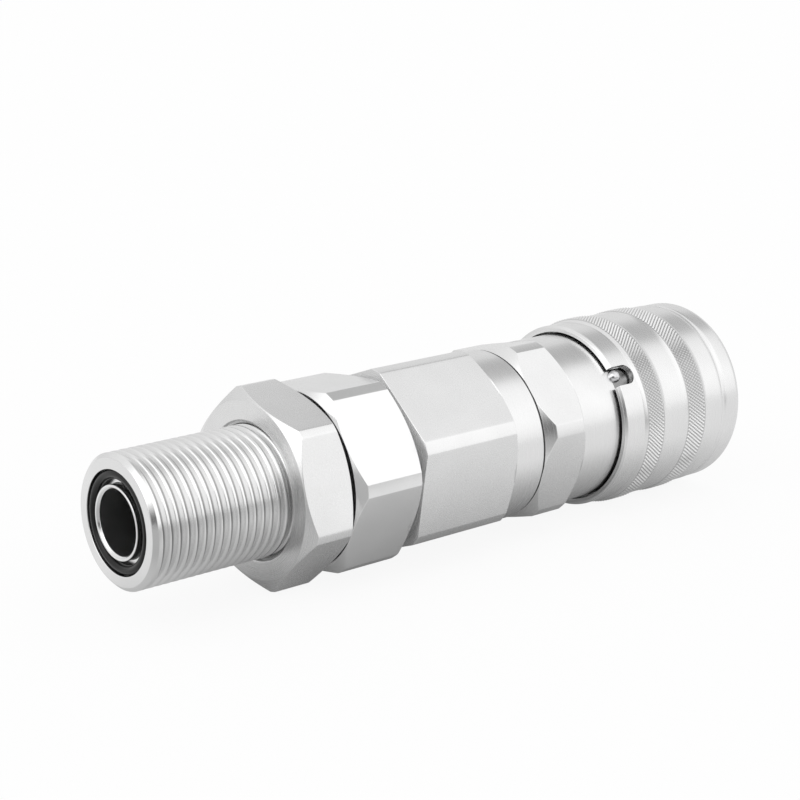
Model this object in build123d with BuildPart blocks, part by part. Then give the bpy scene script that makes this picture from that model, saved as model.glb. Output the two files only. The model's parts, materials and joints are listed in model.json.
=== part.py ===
from build123d import *
import os
from math import cos, pi, radians, sin, sqrt, tan

# Flat face hydraulic coupler, half inch size, female half, uncoupled.
# The coupler's axis is +X. Station 0 is the seal face of the male end, and
# stations grow towards the nose. A clock angle is read from +Z towards -Y.
# All sizes are in millimetres.

# Fits
slide_fit = 0.05
seat_fit = 0.04
ball_fit = 0.05
face_gap = 0.1

# Male end: face seal thread, lock nut and hexagon of the adapter
thread_diameter = 25.4
thread_end_chamfer = 0.8
thread_relief_length = 0.6
thread_relief_depth = 1.2
male_length = 40.9
oil_bore = 12.3
seal_groove_inner = 14.0
seal_groove_outer = 19.6
seal_groove_depth = 1.9
face_seal_section = 1.78
lip_chamfer = 0.4

nut_thickness = 10.8
nut_to_hex = 0.8
nut_corner_cut = 0.45
nut_face_inset = 0.25
nut_clock = 45.7

across_flats = 34.9
corner_cut = 0.7
chamfer_angle = 30.0

adapter_hex_length = 16.4
adapter_clock = 24.6
adapter_front_inset = 0.15
adapter_face_inset = 1.55
spigot_diameter = 25.0
spigot_length = 12.0
spigot_groove_offset = 2.0
spigot_wall = 3.2
bore_funnel_length = 6.0
bore_funnel_straight = 3.4

# Rear body: long hexagon, then a round collar up to the seam
rear_body_length = 31.9
collar_length = 7.8
collar_rise = 0.2
collar_wall = 1.4
rear_body_clock = 9.3
socket_wall_length = 3.5
middle_step = 2.0

# Front body: spigot, short hexagon, round part and ball tube
front_spigot_wall = 2.1
seal_land_height = 0.75
seal_land_length = 4.4
front_hex_length = 11.2
front_hex_chamfer = 1.8
front_hex_clock = 17.3
barrel_rise = 0.1
barrel_length = 18.6
ball_tube_wall = 3.3
ball_tube_length = 27.0
chamber_step = 0.35
nipple_bore_step = 0.65
nipple_bore_length = 16.8
mouth_chamfer = 0.7

# Inner valve: guide, valve sleeve, stem and its carrier
valve_face_depth = 1.0
guide_depth = 34.0
guide_length = 5.0
valve_clearance = 0.15
valve_flange_clearance = 1.35
valve_flange_length = 3.3
valve_tail_length = 3.5
valve_wall = 1.65
valve_throat_wall = 2.65
valve_throat_length = 5.5
valve_throat_cone = 2.5
circlip_thickness = 1.3
circlip_depth = 0.9
circlip_width = 1.55
circlip_gap = 5.0

stem_head_length = 4.0
stem_cone_length = 4.5
stem_groove_offset = 1.0
stem_groove_width = 2.0
stem_diameter = 8.0
stem_collar_diameter = 9.2
stem_collar_length = 2.5
stem_thread_diameter = 6.0
stem_thread_spare = 1.0
stem_nut_flats = 10.0
stem_nut_height = 4.0
carrier_thickness = 4.0
flow_hole_diameter = 5.2
flow_hole_circle = 14.4
flow_hole_count = 6

# Ball lock: ring under the balls, balls, sleeve, its spring and stops
ball_ring_wall = 1.85
ball_ring_flange_length = 2.5
ball_ring_chamfer = 0.3
ball_diameter = 4.0
ball_count = 8
ball_depth = 8.5
ball_lock_travel = 0.65
ball_first_clock = 22.5

sleeve_length = 35.8
sleeve_overhang = 0.5
sleeve_mouth_clearance = 0.45
sleeve_mouth_length = 5.8
sleeve_rim_round = 0.5
rear_band_wall = 1.7
knurl_wall = 2.4
band_wall = 2.05
nose_wall = 2.9
knurl_step_length = 0.7
rear_band_length = 5.7
rear_knurl_length = 4.9
middle_band_length = 6.6
front_knurl_length = 5.4
front_band_length = 5.5
nose_groove_length = 1.3
nose_groove_depth = 0.2
nose_groove_slope = 0.4
nose_round = 1.9
land_length = 5.0
recess_depth = 0.85
sleeve_nose_chamfer = 0.5

stop_ring_offset = 4.1
stop_ring_thickness = 1.2
stop_ring_depth = 0.7
stop_ring_gap = 6.0

stop_ball_diameter = 2.8
stop_ball_offset = 11.8
stop_ball_clock = 51.2
notch_width = 4.3
notch_length = 5.3
notch_clock = 53.0

# Seals and backup rings
seal_section = 1.8
seal_groove_width = 2.4
backup_width = 1.2

# Springs
sleeve_spring_wire = 1.4
sleeve_spring_turns = 4
ring_spring_wire = 1.3
ring_spring_turns = 4
valve_spring_wire = 1.3
valve_spring_turns = 8
steps_per_turn = 18

# Stations worked out from the sizes above
hex_station = male_length
joint_station = hex_station + adapter_hex_length
seam_station = joint_station + rear_body_length
front_hex_end = seam_station + front_hex_length
barrel_end = front_hex_end + barrel_length
body_nose = barrel_end + ball_tube_length
valve_face = body_nose - valve_face_depth
spigot_end = joint_station + spigot_length
middle_start = spigot_end + face_gap
carrier_start = middle_start + socket_wall_length
carrier_end = carrier_start + carrier_thickness
guide_end = body_nose - guide_depth
guide_start = guide_end - guide_length
nipple_bore_start = body_nose - nipple_bore_length
ball_station = body_nose - ball_depth
nut_end = hex_station - nut_to_hex
nut_start = nut_end - nut_thickness
sleeve_nose = body_nose + sleeve_overhang
sleeve_rear = sleeve_nose - sleeve_length
stop_ball_station = front_hex_end + stop_ball_offset
slope = 1 / tan(radians(chamfer_angle))

# Radii worked out from the sizes above, from the hexagons inwards
flat_r = across_flats / 2
sharp_corner_r = across_flats / sqrt(3)
corner_r = sharp_corner_r - corner_cut
nut_corner_r = sharp_corner_r - nut_corner_cut
nut_face_r = flat_r - nut_face_inset
adapter_front_r = flat_r - adapter_front_inset
adapter_face_r = flat_r - adapter_face_inset
thread_r = thread_diameter / 2
bore_r = oil_bore / 2
spigot_r = spigot_diameter / 2
funnel_r = spigot_r - spigot_wall
collar_r = flat_r + collar_rise
seal_socket_r = collar_r - collar_wall
seal_land_r = seal_socket_r - slide_fit
front_spigot_r = seal_land_r - seal_land_height
socket_r = front_spigot_r + slide_fit
chamber_r = front_spigot_r - front_spigot_wall
spring_r = chamber_r - chamber_step
nipple_r = spring_r - nipple_bore_step
barrel_r = flat_r + barrel_rise
tube_r = nipple_r + ball_tube_wall
ring_flange_r = spring_r - 2 * slide_fit
ring_outer_r = nipple_r - 2 * slide_fit
ring_inner_r = ring_outer_r - ball_ring_wall
valve_r = ring_inner_r - valve_clearance
valve_inner_r = valve_r - valve_wall
throat_r = valve_r - valve_throat_wall
stem_head_r = throat_r - 2 * slide_fit


def clock_to_plane(clock):
    """Angle in the YZ plane, from +Y towards +Z, of a clock angle."""
    return 90 + clock


def turned(*corners, mode=Mode.ADD):
    """Revolve a closed outline of (station, radius) corners about the coupler's axis."""
    with BuildSketch(Plane.XY) as outline:
        with BuildLine():
            Polyline(*corners, close=True)
        make_face()
    revolve(outline.sketch, axis=Axis.X, mode=mode)


def ring(start, end, inner, outer, mode=Mode.ADD):
    """A plain ring between two stations and two radii."""
    turned((start, inner), (end, inner), (end, outer), (start, outer), mode=mode)


def hexagon(start, end, flats, clock, mode=Mode.ADD):
    """A hexagonal bar between two stations, with one corner at the clock angle."""
    with BuildSketch(Plane.YZ.offset(start)) as outline:
        RegularPolygon(flats / 2, 6, major_radius=False, rotation=clock_to_plane(clock))
    extrude(outline.sketch, amount=end - start, mode=mode)


def coil(start, end, mean_radius, wire, turns):
    """A coil spring of six-sided wire that fills the room between two seats."""
    rise = (end - start - wire - seat_fit) / (turns * steps_per_turn)
    points = []
    for step in range(turns * steps_per_turn + 1):
        angle = 2 * pi * step / steps_per_turn
        place = start + (wire + seat_fit) / 2 + rise * step
        points.append((place, mean_radius * cos(angle), mean_radius * sin(angle)))
    with BuildLine() as path:
        Polyline(*points)
    with BuildSketch(Plane(origin=points[0], x_dir=(1, 0, 0), z_dir=path.line % 0)) as section:
        RegularPolygon(wire / 2, 6)
    sweep(section.sketch, path=path.line, transition=Transition.RIGHT)


def gapped_ring(start, thickness, inner, outer, gap):
    """A snap ring: a flat ring with a gap at the top."""
    ring(start, start + thickness, inner, outer)
    with Locations((start + thickness / 2, 0, (inner + outer) / 2)):
        Box(2 * thickness, gap, 2 * outer - 2 * inner, mode=Mode.SUBTRACT)


# Adapter: male face seal end, wrench hexagon and the spigot that screws into the rear body
spigot_groove = joint_station + spigot_groove_offset
spigot_groove_r = spigot_r + slide_fit - seal_section
adapter_front_chamfer = (corner_r - adapter_front_r) / slope
adapter_chamfer = (corner_r - adapter_face_r) / slope
funnel_end = spigot_end - bore_funnel_straight
with BuildPart() as adapter:
    hexagon(hex_station, joint_station, across_flats, adapter_clock)
    turned(
        (hex_station, 0),
        (hex_station, adapter_front_r),
        (hex_station + adapter_front_chamfer, corner_r),
        (joint_station - adapter_chamfer, corner_r),
        (joint_station, adapter_face_r),
        (joint_station, 0),
        mode=Mode.INTERSECT,
    )
    turned(
        (0, 0),
        (0, thread_r - thread_end_chamfer),
        (thread_end_chamfer, thread_r),
        (hex_station - thread_relief_length - thread_relief_depth, thread_r),
        (hex_station - thread_relief_length, thread_r - thread_relief_depth),
        (hex_station, thread_r - thread_relief_depth),
        (hex_station, 0),
    )
    ring(joint_station, spigot_end, 0, spigot_r)
    ring(spigot_groove, spigot_groove + seal_groove_width, spigot_groove_r, thread_r, mode=Mode.SUBTRACT)
    ring(0, seal_groove_depth, seal_groove_inner / 2, seal_groove_outer / 2, mode=Mode.SUBTRACT)
    turned(
        (0, 0),
        (0, bore_r + lip_chamfer),
        (lip_chamfer, bore_r),
        (funnel_end - bore_funnel_length, bore_r),
        (funnel_end, funnel_r),
        (spigot_end, funnel_r),
        (spigot_end, 0),
        mode=Mode.SUBTRACT,
    )
adapter.part.label = "adapter"

# Face seal ring in the groove of the seal face
face_seal_r = (seal_groove_outer - face_seal_section) / 2 - face_gap
with BuildPart() as face_seal:
    with BuildSketch(Plane.XY):
        with Locations((face_seal_section / 2 + face_gap, face_seal_r)):
            Circle(face_seal_section / 2)
    revolve(axis=Axis.X)
face_seal.part.label = "face_seal"

# Lock nut on the male thread
nut_chamfer = (nut_corner_r - nut_face_r) / slope
nut_bore_r = thread_r + slide_fit
with BuildPart() as lock_nut:
    hexagon(nut_start, nut_end, across_flats, nut_clock)
    turned(
        (nut_start, 0),
        (nut_start, nut_face_r),
        (nut_start + nut_chamfer, nut_corner_r),
        (nut_end - nut_chamfer, nut_corner_r),
        (nut_end, nut_face_r),
        (nut_end, 0),
        mode=Mode.INTERSECT,
    )
    turned(
        (nut_start, 0),
        (nut_start, nut_bore_r + thread_end_chamfer),
        (nut_start + thread_end_chamfer, nut_bore_r),
        (nut_end - thread_end_chamfer, nut_bore_r),
        (nut_end, nut_bore_r + thread_end_chamfer),
        (nut_end, 0),
        mode=Mode.SUBTRACT,
    )
lock_nut.part.label = "lock_nut"

# Seal on the adapter's spigot
with BuildPart() as adapter_seal:
    ring(
        spigot_groove + seat_fit,
        spigot_groove + seal_section,
        spigot_groove_r + seat_fit / 2,
        spigot_r + slide_fit - seat_fit / 2,
    )
adapter_seal.part.label = "adapter_seal"

# Rear body: a long hexagon that ends in a round collar, with a socket at each end
collar_start = seam_station - collar_length
collar_chamfer = (corner_r - collar_r) / slope
seal_socket_start = seam_station - seal_land_length - face_gap
with BuildPart() as rear_body:
    hexagon(joint_station, collar_start, across_flats, rear_body_clock)
    turned(
        (joint_station, 0),
        (joint_station, corner_r),
        (collar_start - collar_chamfer, corner_r),
        (collar_start, collar_r),
        (collar_start, 0),
        mode=Mode.INTERSECT,
    )
    ring(collar_start, seam_station, 0, collar_r)
    ring(joint_station, middle_start, 0, spigot_r + slide_fit, mode=Mode.SUBTRACT)
    ring(middle_start, carrier_start, 0, spigot_r - middle_step, mode=Mode.SUBTRACT)
    ring(carrier_start, seal_socket_start, 0, socket_r, mode=Mode.SUBTRACT)
    ring(seal_socket_start, seam_station, 0, seal_socket_r, mode=Mode.SUBTRACT)
rear_body.part.label = "rear_body"

# Front body: spigot, short hexagon, round barrel and the tube that cages the balls
seal_land_start = seam_station - seal_land_length
body_groove = seam_station - backup_width - seal_section - face_gap
body_groove_r = seal_socket_r - seal_section
front_spigot_start = carrier_end + face_gap
ball_r = ball_diameter / 2
ball_hole_r = ball_r + ball_fit
ball_out_r = nipple_r + ball_r
ball_seat_r = ball_out_r - ball_lock_travel
stop_ball_r = stop_ball_diameter / 2
stop_ball_centre_r = barrel_r - seat_fit
nipple_groove = nipple_bore_start + backup_width
nipple_groove_r = nipple_r + seal_section
nipple_groove_width = seal_groove_width + backup_width
stop_ring_start = body_nose - stop_ring_offset - stop_ring_thickness / 2
stop_groove_r = tube_r - stop_ring_depth
circlip_start = guide_start - circlip_thickness
circlip_groove_r = chamber_r + circlip_depth
with BuildPart() as front_body:
    hexagon(seam_station, front_hex_end, across_flats, front_hex_clock)
    turned(
        (seam_station, 0),
        (seam_station, barrel_r),
        (seam_station + front_hex_chamfer, corner_r),
        (front_hex_end - front_hex_chamfer, corner_r),
        (front_hex_end, barrel_r),
        (front_hex_end, 0),
        mode=Mode.INTERSECT,
    )
    ring(front_hex_end, barrel_end, 0, barrel_r)
    ring(barrel_end, body_nose, 0, tube_r)
    ring(front_spigot_start, seal_land_start, 0, front_spigot_r)
    ring(seal_land_start, seam_station, 0, seal_land_r)
    ring(body_groove, seam_station, body_groove_r, seal_land_r, mode=Mode.SUBTRACT)
    ring(front_spigot_start, guide_end, 0, chamber_r, mode=Mode.SUBTRACT)
    ring(guide_end, nipple_bore_start, 0, spring_r, mode=Mode.SUBTRACT)
    ring(nipple_bore_start, body_nose, 0, nipple_r, mode=Mode.SUBTRACT)
    turned(
        (body_nose - mouth_chamfer, nipple_r),
        (body_nose, nipple_r + mouth_chamfer),
        (body_nose, 0),
        (body_nose - mouth_chamfer, 0),
        mode=Mode.SUBTRACT,
    )
    ring(nipple_groove, nipple_groove + nipple_groove_width, 0, nipple_groove_r, mode=Mode.SUBTRACT)
    ring(circlip_start, guide_start, 0, circlip_groove_r, mode=Mode.SUBTRACT)
    ring(
        stop_ring_start,
        stop_ring_start + stop_ring_thickness + face_gap,
        stop_groove_r,
        barrel_r,
        mode=Mode.SUBTRACT,
    )
    with Locations(Plane.YZ.offset(ball_station)):
        with PolarLocations(ball_seat_r, ball_count, clock_to_plane(ball_first_clock)):
            Sphere(ball_hole_r, mode=Mode.SUBTRACT)
            Cylinder(
                ball_hole_r,
                barrel_r - ball_seat_r,
                rotation=(0, 90, 0),
                align=(Align.CENTER, Align.CENTER, Align.MIN),
                mode=Mode.SUBTRACT,
            )
    with Locations(Plane.YZ.offset(stop_ball_station)):
        with PolarLocations(stop_ball_centre_r, 1, clock_to_plane(stop_ball_clock)):
            Sphere(stop_ball_r + seat_fit / 2, mode=Mode.SUBTRACT)
            Cylinder(
                stop_ball_r + seat_fit / 2,
                stop_ball_r,
                rotation=(0, 90, 0),
                align=(Align.CENTER, Align.CENTER, Align.MIN),
                mode=Mode.SUBTRACT,
            )
front_body.part.label = "front_body"

# Seal and backup ring between the two bodies
with BuildPart() as body_seal:
    ring(
        body_groove + seat_fit,
        body_groove + seal_section,
        body_groove_r + seat_fit / 2,
        seal_socket_r - seat_fit / 2,
    )
body_seal.part.label = "body_seal"

with BuildPart() as body_backup_ring:
    ring(
        seam_station - backup_width,
        seam_station - seat_fit,
        body_groove_r + seat_fit / 2,
        seal_socket_r - seat_fit / 2,
    )
body_backup_ring.part.label = "body_backup_ring"

# Stop ball that the notch of the sleeve straddles
with BuildPart() as stop_ball:
    with Locations(Plane.YZ.offset(stop_ball_station)):
        with PolarLocations(stop_ball_centre_r, 1, clock_to_plane(stop_ball_clock)):
            Sphere(stop_ball_r)
stop_ball.part.label = "stop_ball"

# Lock balls, held out by the ball ring
with BuildPart() as lock_balls:
    with Locations(Plane.YZ.offset(ball_station)):
        with PolarLocations(ball_out_r, ball_count, clock_to_plane(ball_first_clock)):
            Sphere(ball_r)
lock_balls.part.label = "lock_balls"

# Ring under the balls, which the nipple pushes back
ring_start = nipple_bore_start - ball_ring_flange_length - face_gap
with BuildPart() as ball_ring:
    ring(ring_start, valve_face, ring_inner_r, ring_outer_r)
    ring(ring_start, ring_start + ball_ring_flange_length, ring_inner_r, ring_flange_r)
    chamfer(ball_ring.edges().group_by(Axis.X)[-1].sort_by(SortBy.RADIUS)[-1], length=ball_ring_chamfer)
ball_ring.part.label = "ball_ring"

# Nipple seal and its backup ring in the front body's bore
with BuildPart() as nipple_seal:
    ring(
        nipple_groove + backup_width + seat_fit,
        nipple_groove + backup_width + seal_section,
        ring_outer_r + slide_fit,
        nipple_groove_r - seat_fit,
    )
nipple_seal.part.label = "nipple_seal"

with BuildPart() as nipple_backup_ring:
    ring(
        nipple_groove + seat_fit,
        nipple_groove + backup_width,
        ring_outer_r + slide_fit,
        nipple_groove_r - seat_fit,
    )
nipple_backup_ring.part.label = "nipple_backup_ring"

# Guide of the valve sleeve, with a seal inside and one outside
guide_outer_r = chamber_r - slide_fit
guide_inner_r = valve_r + slide_fit
guide_groove = guide_start + (guide_length - seal_groove_width) / 2
guide_web = (guide_outer_r - guide_inner_r - seal_section) / 2
with BuildPart() as valve_guide:
    ring(guide_start, guide_end, guide_inner_r, guide_outer_r)
    ring(
        guide_groove,
        guide_groove + seal_groove_width,
        0,
        guide_inner_r + guide_web,
        mode=Mode.SUBTRACT,
    )
    ring(
        guide_groove,
        guide_groove + seal_groove_width,
        guide_outer_r - guide_web,
        chamber_r,
        mode=Mode.SUBTRACT,
    )
valve_guide.part.label = "valve_guide"

with BuildPart() as valve_seal:
    ring(
        guide_groove + seat_fit,
        guide_groove + seal_section,
        valve_r + slide_fit / 2,
        guide_inner_r + guide_web - seat_fit / 2,
    )
valve_seal.part.label = "valve_seal"

with BuildPart() as guide_seal:
    ring(
        guide_groove + seat_fit,
        guide_groove + seal_section,
        guide_outer_r - guide_web + seat_fit / 2,
        chamber_r - seat_fit / 2,
    )
guide_seal.part.label = "guide_seal"

with BuildPart() as guide_circlip:
    gapped_ring(
        circlip_start + seat_fit,
        circlip_thickness - seat_fit,
        circlip_groove_r - seat_fit - circlip_width,
        circlip_groove_r - seat_fit,
        circlip_gap,
    )
guide_circlip.part.label = "guide_circlip"

# Valve sleeve, which closes on the stem's head
flange_end = guide_start - face_gap
flange_start = flange_end - valve_flange_length
valve_start = flange_start - valve_tail_length
flange_r = chamber_r - valve_flange_clearance
throat_start = valve_face - valve_throat_length
with BuildPart() as valve_sleeve:
    turned(
        (valve_start, valve_inner_r),
        (throat_start - valve_throat_cone, valve_inner_r),
        (throat_start, throat_r),
        (valve_face, throat_r),
        (valve_face, valve_r),
        (flange_end, valve_r),
        (flange_end, flange_r),
        (flange_start, flange_r),
        (flange_start, valve_r),
        (valve_start, valve_r),
    )
valve_sleeve.part.label = "valve_sleeve"

# Fixed stem with the flat head, its seal, carrier and nut
stem_r = stem_diameter / 2
stem_thread_r = stem_thread_diameter / 2
head_start = valve_face - stem_head_length
stem_groove = head_start + stem_groove_offset
stem_groove_r = throat_r - seal_section + face_gap
stem_end = carrier_start - stem_nut_height - stem_thread_spare
with BuildPart() as stem:
    turned(
        (stem_end, 0),
        (stem_end, stem_thread_r),
        (carrier_end, stem_thread_r),
        (carrier_end, stem_collar_diameter / 2),
        (carrier_end + stem_collar_length, stem_collar_diameter / 2),
        (carrier_end + stem_collar_length, stem_r),
        (head_start - stem_cone_length, stem_r),
        (head_start, stem_head_r),
        (stem_groove, stem_head_r),
        (stem_groove, stem_groove_r),
        (stem_groove + stem_groove_width, stem_groove_r),
        (stem_groove + stem_groove_width, stem_head_r),
        (valve_face, stem_head_r),
        (valve_face, 0),
    )
stem.part.label = "stem"

with BuildPart() as stem_seal:
    ring(
        stem_groove + seat_fit,
        stem_groove + stem_groove_width - seat_fit,
        stem_groove_r + seat_fit / 2,
        throat_r - slide_fit,
    )
stem_seal.part.label = "stem_seal"

with BuildPart() as stem_carrier:
    ring(carrier_start, carrier_end, stem_thread_r + slide_fit, front_spigot_r)
    with Locations(Plane.YZ.offset(carrier_start)):
        with PolarLocations(flow_hole_circle / 2, flow_hole_count):
            Cylinder(
                flow_hole_diameter / 2,
                carrier_thickness,
                align=(Align.CENTER, Align.CENTER, Align.MIN),
                mode=Mode.SUBTRACT,
            )
stem_carrier.part.label = "stem_carrier"

with BuildPart() as stem_nut:
    hexagon(carrier_start - stem_nut_height, carrier_start, stem_nut_flats, 0)
    ring(
        carrier_start - stem_nut_height,
        carrier_start,
        0,
        stem_thread_r + slide_fit,
        mode=Mode.SUBTRACT,
    )
stem_nut.part.label = "stem_nut"

# Sleeve: stepped outside, notch for the stop ball, spring pocket, ball land, ramp and recess
land_r = tube_r + slide_fit
recess_r = land_r + recess_depth
pocket_r = barrel_r + slide_fit
ball_reach = ball_r + ball_fit
ramp_start = ball_station + (land_r - ball_out_r) - ball_reach * sqrt(2)
ramp_end = ramp_start + recess_r - land_r
land_start = ramp_start - land_length
mouth_end = sleeve_rear + sleeve_mouth_length
rear_knurl_start = sleeve_rear + rear_band_length + sleeve_rim_round
rear_knurl_end = rear_knurl_start + rear_knurl_length
front_knurl_start = rear_knurl_end + middle_band_length + knurl_step_length
front_knurl_end = front_knurl_start + front_knurl_length
groove_start = front_knurl_end + front_band_length
groove_end = groove_start + nose_groove_length
mouth_r = barrel_r + sleeve_mouth_clearance
rear_band_r = pocket_r + rear_band_wall
knurl_r = pocket_r + knurl_wall
band_r = pocket_r + band_wall
nose_r = recess_r + nose_wall
with BuildPart() as sleeve:
    turned(
        (sleeve_rear, mouth_r),
        (sleeve_rear, rear_band_r - sleeve_rim_round),
        (sleeve_rear + sleeve_rim_round, rear_band_r),
        (rear_knurl_start - knurl_step_length, rear_band_r),
        (rear_knurl_start, knurl_r),
        (rear_knurl_end, knurl_r),
        (rear_knurl_end, band_r),
        (front_knurl_start - knurl_step_length, band_r),
        (front_knurl_start, knurl_r),
        (front_knurl_end, knurl_r),
        (front_knurl_end, band_r),
        (groove_start, band_r),
        (groove_start + nose_groove_slope, nose_r - nose_groove_depth),
        (groove_end - nose_groove_slope, nose_r - nose_groove_depth),
        (groove_end, nose_r),
        (sleeve_nose, nose_r),
        (sleeve_nose, recess_r + sleeve_nose_chamfer),
        (sleeve_nose - sleeve_nose_chamfer, recess_r),
        (ramp_end, recess_r),
        (ramp_start, land_r),
        (land_start, land_r),
        (land_start, pocket_r),
        (mouth_end, pocket_r),
        (mouth_end, mouth_r),
    )
    nose_edge = sleeve.edges().group_by(Axis.X)[-1].sort_by(SortBy.RADIUS)[-1]
    fillet(nose_edge, radius=nose_round)
    with BuildSketch(Plane.XY) as notch_outline:
        with Locations((sleeve_rear + (notch_length - notch_width / 2) / 2, 0)):
            Rectangle(notch_length - notch_width / 2, notch_width)
        with Locations((sleeve_rear + notch_length - notch_width / 2, 0)):
            Circle(notch_width / 2)
    notch_plane = Plane.XY.rotated((notch_clock, 0, 0))
    extrude(notch_plane * notch_outline.sketch, amount=knurl_r, dir=notch_plane.z_dir, mode=Mode.SUBTRACT)
sleeve.part.label = "sleeve"

# Snap ring that keeps the sleeve on the ball tube
with BuildPart() as sleeve_stop_ring:
    gapped_ring(
        stop_ring_start + seat_fit,
        stop_ring_thickness,
        stop_groove_r + seat_fit,
        recess_r - 2 * slide_fit,
        stop_ring_gap,
    )
sleeve_stop_ring.part.label = "sleeve_stop_ring"

# Springs
with BuildPart() as sleeve_spring:
    coil(barrel_end, land_start, (pocket_r + tube_r) / 2, sleeve_spring_wire, sleeve_spring_turns)
sleeve_spring.part.label = "sleeve_spring"

with BuildPart() as ball_ring_spring:
    coil(guide_end, ring_start, (valve_r + spring_r) / 2, ring_spring_wire, ring_spring_turns)
ball_ring_spring.part.label = "ball_ring_spring"

with BuildPart() as valve_spring:
    coil(carrier_end, flange_start, (valve_r + chamber_r) / 2, valve_spring_wire, valve_spring_turns)
valve_spring.part.label = "valve_spring"

pieces = [
    adapter, face_seal, lock_nut, adapter_seal,
    rear_body, front_body, body_seal, body_backup_ring,
    stop_ball, lock_balls, ball_ring, nipple_seal, nipple_backup_ring,
    valve_guide, valve_seal, guide_seal, guide_circlip, valve_sleeve,
    stem, stem_seal, stem_carrier, stem_nut,
    sleeve, sleeve_stop_ring,
    sleeve_spring, ball_ring_spring, valve_spring,
]
os.makedirs("parts", exist_ok=True)
for piece in pieces:
    export_step(piece.part, f"parts/{piece.part.label}.step")
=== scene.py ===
import json
from math import acos, cos, pi, radians, sin

import bmesh
import bpy
import numpy as np
from bpy.props import FloatProperty, FloatVectorProperty, IntProperty, PointerProperty
from mathutils import Matrix, Vector


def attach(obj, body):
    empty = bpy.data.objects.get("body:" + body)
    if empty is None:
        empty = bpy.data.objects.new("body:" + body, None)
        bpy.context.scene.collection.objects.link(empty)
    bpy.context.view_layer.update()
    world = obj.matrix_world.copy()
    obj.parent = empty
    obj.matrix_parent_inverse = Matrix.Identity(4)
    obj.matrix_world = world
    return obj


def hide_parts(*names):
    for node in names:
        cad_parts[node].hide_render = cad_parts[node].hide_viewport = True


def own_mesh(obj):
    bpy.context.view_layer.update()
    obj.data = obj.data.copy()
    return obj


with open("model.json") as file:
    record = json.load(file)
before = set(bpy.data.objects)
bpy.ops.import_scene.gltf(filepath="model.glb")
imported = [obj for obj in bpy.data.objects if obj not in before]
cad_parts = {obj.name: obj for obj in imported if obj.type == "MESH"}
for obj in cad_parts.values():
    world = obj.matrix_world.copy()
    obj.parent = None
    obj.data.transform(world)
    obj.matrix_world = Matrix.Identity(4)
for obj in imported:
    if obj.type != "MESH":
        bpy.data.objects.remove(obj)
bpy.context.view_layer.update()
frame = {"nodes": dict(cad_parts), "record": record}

bl_info = {
    "name": "Flat face coupler",
    "version": (1, 0, 0),
    "blender": (4, 5, 0),
    "location": "View3D > Sidebar > Coupler",
    "description": "Dresses the packed coupler: thread, hexagons, knurled sleeve, valve, springs and stage",
    "category": "Object",
}


# Settings that a user would change


def size(label, text, metres):
    """A length setting."""
    return FloatProperty(name=label, description=text, default=metres, unit="LENGTH", precision=5)


def clock_angle(label, text, degrees):
    """A clock angle setting. Clock angles run from +Z towards -Y."""
    return FloatProperty(name=label, description=text, default=radians(degrees), subtype="ANGLE")


def amount(label, text, value, most):
    """A setting between nothing and the most it may be."""
    return FloatProperty(name=label, description=text, default=value, min=0, max=most)


def tint(label, text, colour):
    """A colour setting."""
    return FloatVectorProperty(
        name=label, description=text, default=colour, subtype="COLOR", size=3, min=0, max=1
    )


class MaleEndSettings(bpy.types.PropertyGroup):
    """Sizes of the threaded end, its nut and its hexagon."""

    thread_radius: size("Thread radius", "Radius over the thread's crests", 0.0127)
    pitch: size("Pitch", "Distance between two turns of the thread", 0.0254 / 14)
    thread_start: size("Thread start", "Station where the first groove runs in", 0.0011)
    bore_radius: size("Bore radius", "Radius of the oil bore", 0.00615)
    groove_inner: size("Groove inner radius", "Inner radius of the face seal's groove", 0.0070)
    groove_outer: size("Groove outer radius", "Outer radius of the face seal's groove", 0.0098)
    seal_section: size("Seal section", "Thickness of the face seal ring", 0.00178)
    nut_clock: clock_angle("Nut corner", "Clock angle of one corner of the nut", 45.7)
    hexagon_clock: clock_angle("Adapter corner", "Clock angle of one corner of the adapter's hexagon", 24.6)


class BodySettings(bpy.types.PropertyGroup):
    """Sizes of the two body halves."""

    flat_radius: size("Flat radius", "Half the width across flats", 0.01745)
    corner_radius: size("Corner radius", "Radius of the turned corner strips", 0.01945)
    barrel_radius: size("Barrel radius", "Radius of the round part before the sleeve", 0.01755)
    collar_radius: size("Collar radius", "Radius of the rear body's collar", 0.01765)
    edge: size("Edge", "How far an edge is broken", 0.00012)
    rear_clock: clock_angle("Rear body corner", "Clock angle of one corner of the rear body", 9.3)
    front_clock: clock_angle("Front body corner", "Clock angle of one corner of the short hexagon", 17.3)


class SleeveSettings(bpy.types.PropertyGroup):
    """Sizes of the locking sleeve."""

    knurl_radius: size("Knurl radius", "Radius over the knurl's points", 0.0200)
    knurl_depth: size("Knurl depth", "Depth of the knurl's grooves", 0.00031)
    diamonds: IntProperty(
        name="Diamonds round", description="Knurl diamonds round the sleeve", default=160, min=60, max=260
    )
    diamond_length: size("Diamond length", "Length of a knurl diamond along the axis", 0.00105)
    notch_width: size("Notch width", "Width of the notch over the stop ball", 0.0043)
    notch_length: size("Notch length", "Length of the notch", 0.0053)
    notch_clock: clock_angle("Notch", "Clock angle of the notch", 53.0)
    ball_clock: clock_angle("Stop ball", "Clock angle of the stop ball", 51.2)


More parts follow.
